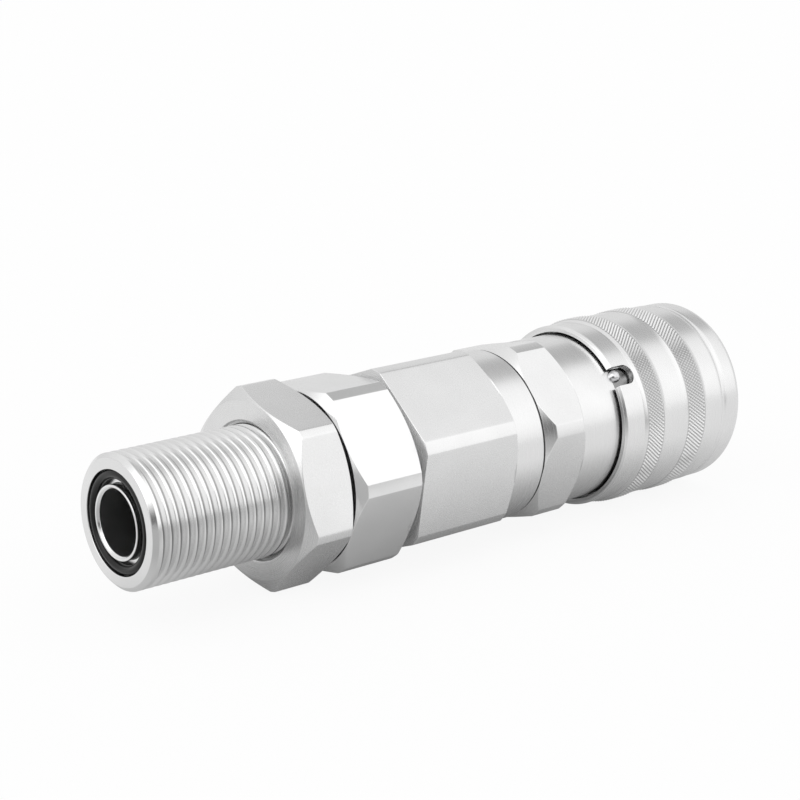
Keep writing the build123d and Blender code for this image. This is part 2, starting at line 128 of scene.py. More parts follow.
class FinishSettings(bpy.types.PropertyGroup):
    """Colours and roughness of the finishes."""

    plating: tint("Plating", "Colour of the plated steel", (0.80, 0.80, 0.80))
    valve_steel: tint("Valve steel", "Colour of the ground valve parts", (0.66, 0.66, 0.67))
    ball_steel: tint("Ball steel", "Colour of the polished balls", (0.66, 0.66, 0.67))
    wire: tint("Spring wire", "Colour of the spring wire", (0.30, 0.30, 0.31))
    rubber: tint("Rubber", "Colour of the seals", (0.012, 0.012, 0.012))
    backup: tint("Backup ring", "Colour of the backup rings", (0.80, 0.80, 0.77))
    plating_roughness: amount("Plating roughness", "Roughness of the plated steel", 0.26, 1)


class StudioSettings(bpy.types.PropertyGroup):
    """Levels of the soft studio light."""

    horizon: amount("Horizon", "Brightness of the dome's foot", 0.78, 3)
    zenith: amount("Zenith", "Brightness of the dome's top", 0.94, 3)
    floor_glow: amount("Floor white", "How much white the camera sees on the floor", 0.91, 1)
    # The floor's two mirrored levels are a painted reflection glow, which the metal sees darker in front of
    # the thread
    mirrored_front: amount("Mirrored front", "White that the metal sees on the floor in front", 0.18, 2)
    mirrored_back: amount("Mirrored back", "White that the metal sees on the floor behind", 0.58, 2)
    focal_length: FloatProperty(
        name="Focal length", description="Focal length in millimetres", default=89.27, min=20, max=300
    )


# The softboxes and, with a negative brightness, the dark flags: direction, the cosines of the angle from it
# where each starts and where it is full, and brightness
SOFTBOXES = [
    ((0.35, -0.45, 0.82), 0.82, 1.00, 0.22),
    ((0.62, -0.594, 0.509), 0.80, 1.00, 0.15),
    ((0.62, -0.77, 0.10), 0.80, 1.00, 0.30),
    ((-0.92, 0.11, 0.37), 0.80, 1.00, 0.68),
    ((-0.73, -0.30, 0.61), 0.84, 1.00, 0.80),
    ((-0.80, -0.60, 0.04), 0.80, 0.93, -0.70),
    ((0.62, 0.26, 0.74), 0.93, 0.98, -0.40),
    ((-0.20, -0.85, 0.45), 0.80, 1.00, 0.48),
]

# Stations between which each of the sleeve's two knurls lies
KNURLS = [(0.1169, 0.1218), (0.1291, 0.1345)]

# Painted shade in grooves, darkest at their bottoms where the real ones lie in shade: spans of stations,
# radius of the bottom, radius from which the tone is plain, and tone at the bottom. The tone is plain again
# farther inside the bottom than the margin.
# The sleeve pocket's painted shade lies on the front body's barrel under the sleeve's rim and shows in the
# notch; the others are painted shade in the collar seam, the thread roots and the knurl grooves.
SLEEVE_POCKET_SHADE = ([(0.1112, 0.1188)], 0.0175, 0.0190, 0.35)
COLLAR_SEAM_SHADE = ([(0.08865, 0.08925)], 0.0170, 0.0177, 0.12)
THREAD_ROOT_SHADE = ([(0.0012, 0.0390)], 0.01172, 0.01195, 0.38)
KNURL_GROOVE_SHADE = (KNURLS, 0.01970, 0.0199, 0.68)
SHADE_MARGIN = 0.0002

# How far edges are broken: plain turned edges, those inside, those of chamfers and valve parts, the foot of a
# chamfer, the collar's end, and the edge between a flat and a corner strip
TURNED_EDGE, INNER_EDGE, CRISP_EDGE = 0.00012, 0.0001, 0.00008
FOOT_EDGE, COLLAR_EDGE, STRIP_EDGE = 0.00005, 0.00006, 0.00004

# Stations that pieces share: adapter's hexagon and rear body, rear body and front body, and the flat faces
REAR_START, SEAM, FLAT_FACE = 0.0573, 0.0892, 0.1450

# Rise of a hexagon's chamfer along the axis for each metre of radius
CHAMFER_SLOPE = np.tan(radians(30))

# Distance within which points are welded, length below which an edge is dissolved, and one that only keeps a
# division from failing
WELD, NO_EDGE, NOTHING = 2e-7, 1e-7, 1e-12

# Points on the bend of a softened corner, which has one more row before and one after it. The slice takes the
# corners off both ends of an open profile.
BEND_POINTS = 4
OPEN_ENDS = slice(BEND_POINTS + 1, -BEND_POINTS - 1)

# Scales of the finish textures, in spans to the metre, and the height of the finest marks
LINE_SCALE, SPECK_SCALE, CLOUD_SCALE, FLOW_SCALE = 9000.0, 5200.0, 130.0, 900.0
MARK_HEIGHT = 0.000006

# The camera: the directions of its right, up and back, and its place
CAMERA_AXES = (
    (0.76467513, -0.64441597, 0.0),
    (0.16779333, 0.19910646, 0.96550609),
    (-0.62218755, -0.7382985, 0.26038046),
)
CAMERA_PLACE = (-0.17719182, -0.28868735, 0.11302386)


# Surfaces on parametric grids


def ring_angles(count, extra=()):
    """Clock angles of the columns of a surface: an even ring and the extra angles, in rising order."""
    even = np.arange(count) * 2 * pi / count
    return np.unique(np.round(np.concatenate([even, np.asarray(extra, float) % (2 * pi)]), 9))


def place(x, radius, theta):
    """Points at a station, a radius and a clock angle: (x, -r sin t, r cos t)."""
    x, radius, theta = np.broadcast_arrays(x, radius, theta)
    return np.stack([x, -radius * np.sin(theta), radius * np.cos(theta)], -1)


def grid_faces(rows, columns, closed, lead=0):
    """Four-sided faces between neighbouring rows and columns. The last column joins the first, lead rows
    further on."""
    row = np.arange(rows if closed else rows - 1)[:, None]
    column = np.arange(columns)[None, :]
    follower = (column + 1) % columns
    shift = np.where(column + 1 == columns, lead, 0)
    corners = [
        row * columns + column,
        (row + shift) * columns + follower,
        (row + 1 + shift) * columns + follower,
        (row + 1) * columns + column,
    ]
    faces = np.stack(np.broadcast_arrays(*corners), -1).reshape(-1, 4)
    if closed:
        return faces % (rows * columns)
    return faces[faces.max(1) < rows * columns]


def soften(corners, eases):
    """Breaks the edges of a profile that is given per column, shape (corners, columns, 2).
    Each corner P becomes P (1-s)^2 / 2s(1-s) / s^2 Bezier points between two points on its own sides,
    at most 0.4 of a side away, with one more point beyond each so that the flat beside it stays flat."""
    before = np.roll(corners, 1, 0) - corners
    after = np.roll(corners, -1, 0) - corners
    length_before = np.linalg.norm(before, axis=-1, keepdims=True) + NOTHING
    length_after = np.linalg.norm(after, axis=-1, keepdims=True) + NOTHING
    ease = np.asarray(eases, float)[:, None, None]
    most, beyond = 0.4, 1.2
    reach_before = np.minimum(ease, most * length_before)
    reach_after = np.minimum(ease, most * length_after)
    start = corners + before / length_before * reach_before
    end = corners + after / length_after * reach_after
    rows = [corners + (start - corners) * beyond]
    for share in np.linspace(0, 1, BEND_POINTS):
        rows.append((1 - share) ** 2 * start + 2 * share * (1 - share) * corners + share**2 * end)
    rows.append(corners + (end - corners) * beyond)
    return np.stack(rows, 1).reshape(-1, corners.shape[1], 2)


def soft_minimum(first, second, ease):
    """The smaller of two values, with a rounded change: half of a + b - sqrt((a - b)^2 + ease^2)."""
    return (first + second - np.sqrt((first - second) ** 2 + ease**2)) / 2


def hexagon(clock, flat, corner):
    """Columns of a hexagonal bar and its radius at each. The columns are an even ring and a close group at
    each edge between a flat and a corner strip. The radius is flat / cos of the angle from the nearest flat's
    middle, cut off at the corner radius."""
    half_strip = pi / 6 - acos(flat / corner)
    group = np.array([-0.02, -0.009, -0.004, -0.0015, 0, 0.0015, 0.004, 0.009, 0.02])
    edges = [clock + k * pi / 3 + side * half_strip + group for k in range(6) for side in (-1, 1)]
    theta = ring_angles(192, np.concatenate(edges))
    angle = (theta - clock) % (pi / 3) - pi / 6
    return theta, soft_minimum(flat / np.cos(angle), corner, STRIP_EDGE)


def per_column(profile, columns):
    """A profile of (station, radius) pairs as an array (corners, columns, 2). A station or a radius is one
    number for all columns or an array with one for each."""
    return np.stack([
        np.stack([np.broadcast_to(x, columns), np.broadcast_to(radius, columns)], -1) for x, radius in profile
    ])


def turned_rows(profile, columns, ease):
    """A profile that is the same for each column, with its edges broken."""
    return soften(per_column(profile, columns), [ease] * len(profile))


def swept(rows, theta, closed=True):
    """Points and faces of a profile that is carried round the axis."""
    points = place(rows[..., 0], rows[..., 1], theta[None, :]).reshape(-1, 3)
    return points, grid_faces(rows.shape[0], rows.shape[1], closed)


def turned(profile):
    """A solid of revolution from a closed profile."""
    theta = ring_angles(144)
    return swept(turned_rows(profile, len(theta), CRISP_EDGE), theta)


def stitched(first, second, first_start, second_start):
    """Triangles between two rings with different columns. Walking round both rings in the order of their
    angles, each point makes a triangle with the point before it on its own ring and the last one passed on
    the other."""
    behind_first = np.searchsorted(second, first, side="left") - 1
    behind_second = np.searchsorted(first, second, side="right") - 1
    on_first, on_second = np.arange(len(first)), np.arange(len(second))
    from_first = np.stack([(on_first - 1) % len(first), on_first], -1) + first_start
    from_second = np.stack([(on_second - 1) % len(second), on_second], -1) + second_start
    return np.concatenate([
        np.column_stack([from_first, behind_first % len(second) + second_start]),
        np.column_stack([from_second, behind_second % len(first) + first_start]),
    ])


def coiled(start, end, mean_radius, wire, turns):
    """A coil spring: a circle of the wire's radius carried along the helix
    (start + rise t, -r sin 2 pi n t, r cos 2 pi n t)."""
    steps, around = 40, 10
    share = np.linspace(0, 1, turns * steps + 1)[:, None]
    turn = 2 * pi * turns * share
    section = np.arange(around)[None, :] * 2 * pi / around
    x = start + wire / 2 + (end - start - wire) * share + wire / 2 * np.sin(section)
    points = place(x, mean_radius + wire / 2 * np.cos(section), turn).reshape(-1, 3)
    faces = grid_faces(len(share), around, closed=False)
    first = np.arange(around)
    return points, [faces, [first], [first[::-1] + (len(share) - 1) * around]]


def add_piece(name, shells, material, body, nodes, crease=38):
    """Joins shells of (points, faces) into one welded mesh with its faces outwards, in place of CAD nodes.
    Edges that turn by more than the crease, in degrees, stay sharp."""
    points, faces, offset = [], [], 0
    for shell_points, shell_faces in shells:
        groups = shell_faces if isinstance(shell_faces, list) else [shell_faces]
        for group in groups:
            faces.extend((np.asarray(group) + offset).tolist())
        points.append(shell_points)
        offset += len(shell_points)
    mesh = bpy.data.meshes.new(name)
    mesh.from_pydata(np.concatenate(points).tolist(), [], faces)
    work = bmesh.new()
    work.from_mesh(mesh)
    bmesh.ops.remove_doubles(work, verts=work.verts, dist=WELD)
    bmesh.ops.dissolve_degenerate(work, edges=work.edges, dist=NO_EDGE)
    bmesh.ops.recalc_face_normals(work, faces=work.faces)
    work.to_mesh(mesh)
    work.free()
    mesh.polygons.foreach_set("use_smooth", np.ones(len(mesh.polygons), bool))
    mesh.set_sharp_from_angle(angle=radians(crease))
    mesh.materials.append(material)
    piece = bpy.data.objects.new(name, mesh)
    bpy.context.scene.collection.objects.link(piece)
    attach(piece, body)
    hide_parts(*nodes)
    return piece


# Finishes


def node(tree, kind, inputs=(), **settings):
    """A shader node with its settings, and its inputs set or linked."""
    made = tree.nodes.new(kind)
    for name, value in settings.items():
        setattr(made, name, value)
    for key, value in dict(inputs).items():
        if isinstance(value, bpy.types.NodeSocket):
            tree.links.new(value, made.inputs[key])
        else:
            made.inputs[key].default_value = value
    return made


def maths(tree, operation, first, second=None):
    """One step of arithmetic on shader values."""
    inputs = {0: first} if second is None else {0: first, 1: second}
    return node(tree, "ShaderNodeMath", inputs, operation=operation).outputs[0]


def new_finish(name, **shader_inputs):
    """An empty material with a principled shader, and its tree and shader."""
    material = bpy.data.materials.new(name)
    material.use_nodes = True
    tree = material.node_tree
    shader = tree.nodes["Principled BSDF"]
    for key, value in shader_inputs.items():
        shader.inputs[key.replace("_", " ")].default_value = value
    return material, tree, shader


def mapped(tree, value, start, stop, low, high, smooth=False):
    """A shader value carried from between start and stop to between low and high, and held beyond them. The
    change is straight or, where it is to be smooth, 3 t^2 - 2 t^3."""
    return node(
        tree, "ShaderNodeMapRange",
        {"Value": value, "From Min": start, "From Max": stop, "To Min": low, "To Max": high},
        interpolation_type="SMOOTHSTEP" if smooth else "LINEAR",
    ).outputs[0]


def noise(tree, where, scale, detail, roughness=0.5):
    """The value of a noise texture."""
    inputs = {"Vector": where, "Scale": scale, "Detail": detail, "Roughness": roughness}
    return node(tree, "ShaderNodeTexNoise", inputs).outputs[0]


def dot(tree, first, second):
    """The dot product of two shader vectors."""
    return node(tree, "ShaderNodeVectorMath", {0: first, 1: second}, operation="DOT_PRODUCT").outputs["Value"]


def shaded_colour(tree, colour, tone):
    """A colour multiplied by a tone that changes over the surface."""
    return node(tree, "ShaderNodeVectorMath", {0: colour, 3: tone}, operation="SCALE").outputs[0]


def axis_coordinates(tree):
    """Object coordinates, the station x and the distance from the coupler's axis, sqrt(y^2 + z^2)."""
    where = node(tree, "ShaderNodeTexCoord").outputs["Object"]
    station, across, above = node(tree, "ShaderNodeSeparateXYZ", {0: where}).outputs
    squares = maths(tree, "ADD", maths(tree, "POWER", across, 2), maths(tree, "POWER", above, 2))
    return where, station, maths(tree, "SQRT", squares)


def painted_groove_shade(tree, station, distance, spans, bottom, open_from, darkest):
    """Painted shade: a tone that falls to its darkest value at the bottom radius of a groove, within spans of
    stations, where the real groove lies in shade. It is plain again well inside the bottom radius, where a
    bore may run."""
    depth = mapped(tree, distance, bottom, open_from, 1 - darkest, 0.0)
    depth = maths(tree, "MULTIPLY", depth, maths(tree, "GREATER_THAN", distance, bottom - SHADE_MARGIN))
    within = 0.0
    for start, stop in spans:
        after = maths(tree, "GREATER_THAN", station, start)
        inside = maths(tree, "MULTIPLY", after, maths(tree, "LESS_THAN", station, stop))
        within = maths(tree, "ADD", within, inside)
    return maths(tree, "SUBTRACT", 1.0, maths(tree, "MULTIPLY", depth, within))


def steel(name, colour, roughness, lines=0.18, grain=0.1, mottle=0.03, painted_shade=None):
    """Machined steel. Fine lines run round the axis, as a lathe leaves them: a noise of the station and the
    distance from the axis only. A finer even grain, and a slow change of tone, lie over them. Painted shade
    darkens the bottoms of grooves, where shade falls in the real ones."""
    material, tree, shader = new_finish(name, Metallic=1.0)
    where, station, distance = axis_coordinates(tree)
    across = node(tree, "ShaderNodeCombineXYZ", {0: station, 1: distance, 2: 0})
    rings = noise(tree, across.outputs[0], LINE_SCALE, 3.0, 0.6)
    specks = noise(tree, where, SPECK_SCALE, 2.0)
    clouds = noise(tree, where, CLOUD_SCALE, 3.0)
    shade = mapped(tree, clouds, 0.3, 0.7, 1 - mottle, 1 + mottle / 2)
    # Painted shade darkens the bottoms of the grooves
    if painted_shade:
        shade = maths(tree, "MULTIPLY", shade, painted_groove_shade(tree, station, distance, *painted_shade))
    tree.links.new(shaded_colour(tree, colour, shade), shader.inputs["Base Color"])
    gloss = mapped(tree, rings, 0.25, 0.75, roughness - 0.05, roughness + 0.05)
    tree.links.new(gloss, shader.inputs["Roughness"])
    marks = node(tree, "ShaderNodeBump", {"Height": rings, "Strength": lines, "Distance": MARK_HEIGHT})
    both = node(
        tree, "ShaderNodeBump",
        {"Height": specks, "Strength": grain, "Distance": MARK_HEIGHT, "Normal": marks.outputs[0]},
    )
    tree.links.new(both.outputs[0], shader.inputs["Normal"])
    return material


def rubber(name, colour, roughness=0.22):
    """Moulded rubber or plastic: fairly glossy, with a faint flow of the surface."""
    material, tree, shader = new_finish(name, Roughness=roughness, Specular_IOR_Level=0.3)
    flow = noise(tree, node(tree, "ShaderNodeTexCoord").outputs["Object"], FLOW_SCALE, 3.0)
    tone = mapped(tree, flow, 0.0, 1.0, 0.8, 1.25)
    tree.links.new(shaded_colour(tree, colour, tone), shader.inputs["Base Color"])
    bump = node(tree, "ShaderNodeBump", {"Height": flow, "Strength": 0.2, "Distance": 0.00002})
    tree.links.new(bump.outputs[0], shader.inputs["Normal"])
    return material


def finishes():
    """All materials by name. The first call makes the finishes."""
    look = bpy.context.scene.coupler_finish
    made = bpy.data.materials
    if "plated_steel_turned" in made:
        return made
    plating = tuple(look.plating)
    rough = look.plating_roughness
    brighter = tuple(min(1, c * 1.05) for c in plating)
    # Painted shade darkens the front body under the sleeve, the collar seam, the thread roots and the knurl
    # grooves
    steel("plated_steel_turned", plating, rough, painted_shade=SLEEVE_POCKET_SHADE)
    steel("plated_steel_milled", plating, rough + 0.02, lines=0.06, painted_shade=COLLAR_SEAM_SHADE)
    steel("plated_steel_thread", brighter, rough - 0.05, lines=0.3, painted_shade=THREAD_ROOT_SHADE)
    steel("plated_steel_knurled", plating, rough, painted_shade=KNURL_GROOVE_SHADE)
    steel("valve_steel_ground", tuple(look.valve_steel), 0.24, lines=0.45, grain=0.12)
    steel("ball_steel_polished", tuple(look.ball_steel), 0.06, lines=0.0, grain=0.03, mottle=0.02)
    steel("spring_wire_drawn", tuple(look.wire), 0.34, lines=0.1, grain=0.4, mottle=0.1)
    rubber("seal_rubber_black", tuple(look.rubber))
    rubber("backup_ring_white", tuple(look.backup), 0.45)
    return made


# Operators


class COUPLER_OT_male_end(bpy.types.Operator):
    """Builds the adapter: threaded end, seal groove, oil bore, hexagon and spigot"""

    bl_idname = "coupler.male_end"
    bl_label = "Adapter"

    # Stations where the thread's grid starts, its crests end and its relief is full
    groove_start, thread_stop, relief = 0.0009, 0.0391, 0.0403

    def execute(self, context):
        end = context.scene.coupler_male_end
        body = context.scene.coupler_body
        theta = ring_angles(184)  # few enough to keep the piece under 200,000 triangles
        columns, outer = hexagon(end.hexagon_clock, body.flat_radius, body.corner_radius)
        add_piece(
            "adapter_body",
            [self.thread(end, theta), self.rest(end, theta), swept(self.hexagon_rows(outer), columns)],
            finishes()["plated_steel_thread"], "coupler_body", ["adapter"],
        )
        return {"FINISHED"}

    def thread(self, end, theta):
        """The screw thread: x = (share + t / 2 pi - 1) pitch and r = crest - depth s(share) run-in, where s
        is the profile of one turn and the run-in is a smooth step over half a pitch. Beyond the stop it falls
        at 45 degrees into the relief."""
        crest, pitch = end.thread_radius, end.pitch
        depth, run_in_length = 0.54 * pitch, 0.5 * pitch
        # One turn of the thread as (share of the pitch, share of the depth), root first
        turn = np.array([
            [0.0, 1.0], [0.05, 1.0], [0.075, 0.985], [0.10, 0.94], [0.20, 0.60], [0.31, 0.20],
            [0.345, 0.08], [0.375, 0.015], [0.41, 0.0], [0.59, 0.0], [0.63, 0.02], [0.67, 0.10],
            [0.71, 0.24], [0.81, 0.60], [0.90, 0.94], [0.93, 0.985],
        ])
        turns = int((self.relief + pitch) / pitch) + 2
        share = (np.arange(turns)[:, None] + turn[None, :, 0]).reshape(-1, 1)
        profile_depth = np.tile(turn[:, 1], turns)[:, None]
        x = (share + theta[None, :] / (2 * pi) - 1) * pitch
        run_in = np.clip((x - end.thread_start) / run_in_length, 0, 1)
        run_in = run_in * run_in * (3 - 2 * run_in)
        radius = crest - depth * profile_depth * run_in
        radius = np.minimum(radius, crest - np.clip(x - self.thread_stop, 0, None))
        x = np.clip(x, self.groove_start, self.relief)
        radius = np.where(x <= self.groove_start, crest, radius)
        radius = np.where(x >= self.relief, crest - (self.relief - self.thread_stop), radius)
        points = place(x, radius, theta[None, :]).reshape(-1, 3)
        return points, grid_faces(len(share), len(theta), closed=False, lead=len(turn))

    def rest(self, end, theta):
        """All of the adapter's turned surfaces but the thread: relief, spigot with its seal seat, bore, and
        the seal face with its groove."""
        crest, bore = end.thread_radius, end.bore_radius
        relief_radius = crest - (self.relief - self.thread_stop)
        spigot, spigot_seat = 0.0125, 0.01075
        groove_depth, bore_chamfer, face_chamfer = 0.0019, 0.0004, 0.0008
        profile = [
            (self.relief, relief_radius), (0.0500, relief_radius), (0.0500, spigot), (0.0593, spigot),
            (0.0593, spigot_seat), (0.0617, spigot_seat), (0.0617, spigot), (0.0693, spigot),
            (0.0693, 0.0093), (0.0659, 0.0093), (0.0599, bore),
            (bore_chamfer, bore), (0.0, bore + bore_chamfer),
            (0.0, end.groove_inner), (groove_depth, end.groove_inner),
            (groove_depth, end.groove_outer), (0.0, end.groove_outer),
            (0.0, crest - face_chamfer), (face_chamfer, crest), (self.groove_start, crest),
        ]
        eases = [0] + [TURNED_EDGE] * (len(profile) - 2) + [0]
        return swept(soften(per_column(profile, len(theta)), eases)[OPEN_ENDS], theta, closed=False)

    def hexagon_rows(self, outer):
        """The hexagon's profile: front face, chamfer, flat or corner strip, chamfer, rear face and a hidden
        bore."""
        start, stop, front_face, rear_face, hidden = 0.0409, REAR_START, 0.0173, 0.0159, 0.0110
        corners = per_column([
            (start, hidden), (start, front_face),
            (start + (outer - front_face) * CHAMFER_SLOPE, outer),
            (stop - (outer - rear_face) * CHAMFER_SLOPE, outer),
            (stop, rear_face), (stop, hidden),
        ], len(outer))
        return soften(corners, [0] + [CRISP_EDGE] * 4 + [0])


class COUPLER_OT_face_seal(bpy.types.Operator):
    """Builds the rubber ring in the groove of the seal face"""

    bl_idname = "coupler.face_seal"
    bl_label = "Face seal"

    def execute(self, context):
        end = context.scene.coupler_male_end
        half, clearance = end.seal_section / 2, 0.0001
        middle = end.groove_outer - half - clearance
        around = np.arange(32) * 2 * pi / 32
        rows = np.stack([half + clearance + half * np.cos(around), middle + half * np.sin(around)], -1)
        theta = ring_angles(144)
        rows = np.repeat(rows[:, None, :], len(theta), 1)
        add_piece(
            "face_seal_ring", [swept(rows, theta)], finishes()["seal_rubber_black"],
            "coupler_body", ["face_seal"],
        )
        return {"FINISHED"}


class COUPLER_OT_lock_nut(bpy.types.Operator):
    """Builds the lock nut with its chamfered corners and countersunk bore"""

    bl_idname = "coupler.lock_nut"
    bl_label = "Lock nut"

    def execute(self, context):
        end = context.scene.coupler_male_end
        body = context.scene.coupler_body
        start, stop, corner, face, bore, countersink = 0.0293, 0.0401, 0.0197, 0.0172, 0.01275, 0.0008
        theta, outer = hexagon(end.nut_clock, body.flat_radius, corner)
        cut = (outer - face) * CHAMFER_SLOPE
        corners = per_column([
            (start, face), (start + cut, outer), (stop - cut, outer), (stop, face),
            (stop, bore + countersink), (stop - countersink, bore),
            (start + countersink, bore), (start, bore + countersink),
        ], len(theta))
        rows = soften(corners, [CRISP_EDGE] * 4 + [INNER_EDGE] * 4)
        add_piece(
            "lock_nut_hexagon", [swept(rows, theta)], finishes()["plated_steel_milled"],
            "lock_nut", ["lock_nut"],
        )
        return {"FINISHED"}


class COUPLER_OT_rear_body(bpy.types.Operator):
    """Builds the long hexagonal rear body with its round collar"""

    bl_idname = "coupler.rear_body"
    bl_label = "Rear body"

    def execute(self, context):
        body = context.scene.coupler_body
        collar, flats_end = body.collar_radius, 0.0814
        rebate_start, rebate_depth = 0.0887, 0.0006
        theta, outer = hexagon(body.rear_clock, body.flat_radius, body.corner_radius)
        chamfer = flats_end - np.clip(outer - collar, 0, None) * CHAMFER_SLOPE
        profile = [
            (REAR_START, outer), (chamfer, outer), (flats_end, collar), (rebate_start, collar),
            (rebate_start, collar - rebate_depth), (SEAM, collar - rebate_depth),
            (SEAM, 0.01625), (0.0847, 0.01625), (0.0847, 0.0155), (0.0729, 0.0155), (0.0729, 0.0105),
            (0.0694, 0.0105), (0.0694, 0.01255), (REAR_START, 0.01255),
        ]
        eases = [body.edge, FOOT_EDGE, FOOT_EDGE, COLLAR_EDGE] + [INNER_EDGE] * (len(profile) - 4)
        rows = soften(per_column(profile, len(theta)), eases)
        add_piece(
            "rear_body_shell", [swept(rows, theta)], finishes()["plated_steel_milled"],
            "coupler_body", ["rear_body"],
        )
        return {"FINISHED"}


class COUPLER_OT_front_body(bpy.types.Operator):
    """Builds the short hexagon, the barrel and the tube that cages the lock balls"""

    bl_idname = "coupler.front_body"
    bl_label = "Front body"

    def execute(self, context):
        body = context.scene.coupler_body
        corner, barrel = body.corner_radius, body.barrel_radius
        theta, outer = hexagon(body.front_clock, body.flat_radius, corner)
        stop, chamfer = 0.1004, 0.0018
        cut = np.clip(outer - barrel, 0, None) * (chamfer / (corner - barrel))
        foot = np.minimum(outer, barrel)
        flats = [(SEAM, foot), (SEAM + cut, outer), (stop - cut, outer), (stop, foot), (stop, barrel)]
        tube = [
            (0.1190, barrel), (0.1190, 0.01565), (0.1413, 0.01565), (0.1413, 0.01495), (0.1426, 0.01495),
            (0.1426, 0.01565), (0.1460, 0.01565), (0.1460, 0.01305), (0.1453, 0.01235), (0.1340, 0.01235),
            (0.1340, 0.01415), (0.1304, 0.01415), (0.1304, 0.01235), (0.1292, 0.01235), (0.1292, 0.0130),
        ]
        spigot = [
            (0.1120, 0.0130), (0.1120, 0.01335), (0.1070, 0.01335), (0.1070, 0.01425), (0.1057, 0.01425),
            (0.1057, 0.01335), (0.0770, 0.01335), (0.0770, 0.01545), (0.0848, 0.01545), (0.0848, 0.0162),
            (0.0861, 0.0162), (0.0861, 0.01445), (SEAM, 0.01445),
        ]
        eases = [FOOT_EDGE, CRISP_EDGE, CRISP_EDGE, FOOT_EDGE, 0.0] + [INNER_EDGE] * len(tube + spigot)
        rows = soften(per_column(flats + tube + spigot, len(theta)), eases)
        add_piece(
            "front_body_shell", [swept(rows, theta)], finishes()["plated_steel_turned"],
            "coupler_body", ["front_body"],
        )
        return {"FINISHED"}


class COUPLER_OT_stop_ball(bpy.types.Operator):
    """Builds the polished ball that the sleeve's notch straddles: a sphere round its own outward radius"""

    bl_idname = "coupler.stop_ball"
    bl_label = "Stop ball"

    def execute(self, context):
        clock = context.scene.coupler_sleeve.ball_clock
        radius, station, middle = 0.0014, 0.1122, 0.01751
        polar = np.linspace(0, pi, 33)[:, None]
        around = np.arange(64)[None, :] * 2 * pi / 64
        outward = middle + radius * np.cos(polar)
        sideways = radius * np.sin(polar) * np.sin(around)
        points = np.stack([
            station + radius * np.sin(polar) * np.cos(around),
            -outward * sin(clock) - sideways * cos(clock),
            outward * cos(clock) - sideways * sin(clock),
        ], -1).reshape(-1, 3)
        add_piece(
            "stop_ball_polished", [(points, grid_faces(len(polar), around.size, closed=False))],
            finishes()["ball_steel_polished"], "coupler_body", ["stop_ball"],
        )
        return {"FINISHED"}


